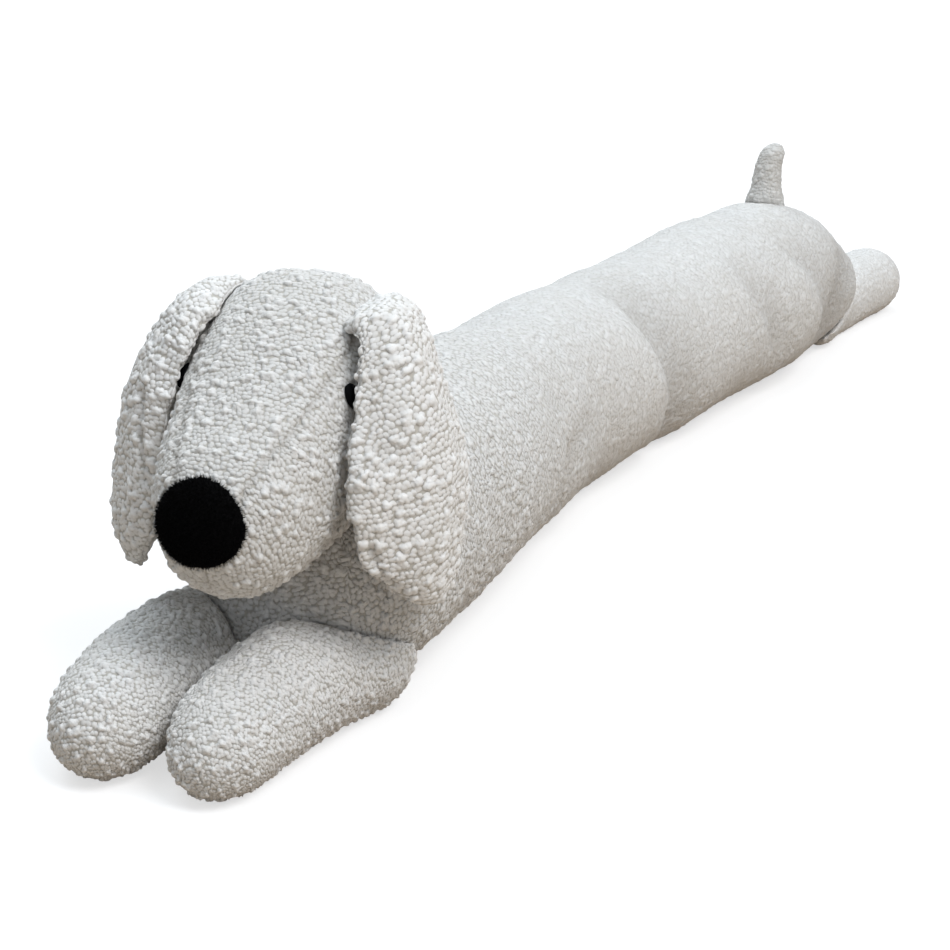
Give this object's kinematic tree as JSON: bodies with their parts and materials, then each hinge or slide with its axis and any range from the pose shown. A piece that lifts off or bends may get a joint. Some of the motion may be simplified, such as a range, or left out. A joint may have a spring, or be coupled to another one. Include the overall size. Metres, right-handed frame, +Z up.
{
  "type": "draught excluder",
  "caption": "Long stuffed dog in cream boucle cloth that lies along the foot of a door and keeps draughts out, with floppy ears and a plush nose.",
  "frame": {"origin": "middle of the tube's flat underside, on the floor", "axes": "+Z up, -Y the way the dog looks, +X its left side"},
  "size_m": [0.2009, 0.9126, 0.2092],
  "materials": {
    "cream_boucle": "knobbly cream boucle cloth",
    "black_plush": "short black pile",
    "black_bead": "dull black bead"
  },
  "bodies": {
    "root": {"body": "cream_boucle", "head": "cream_boucle", "ear_left": "cream_boucle", "ear_right": "cream_boucle", "nose": "black_plush", "eye_left": "black_bead", "eye_right": "black_bead", "foreleg_left": "cream_boucle", "foreleg_right": "cream_boucle", "hindleg_left": "cream_boucle", "hindleg_right": "cream_boucle", "tail": "cream_boucle"}
  },
  "joints": []
}
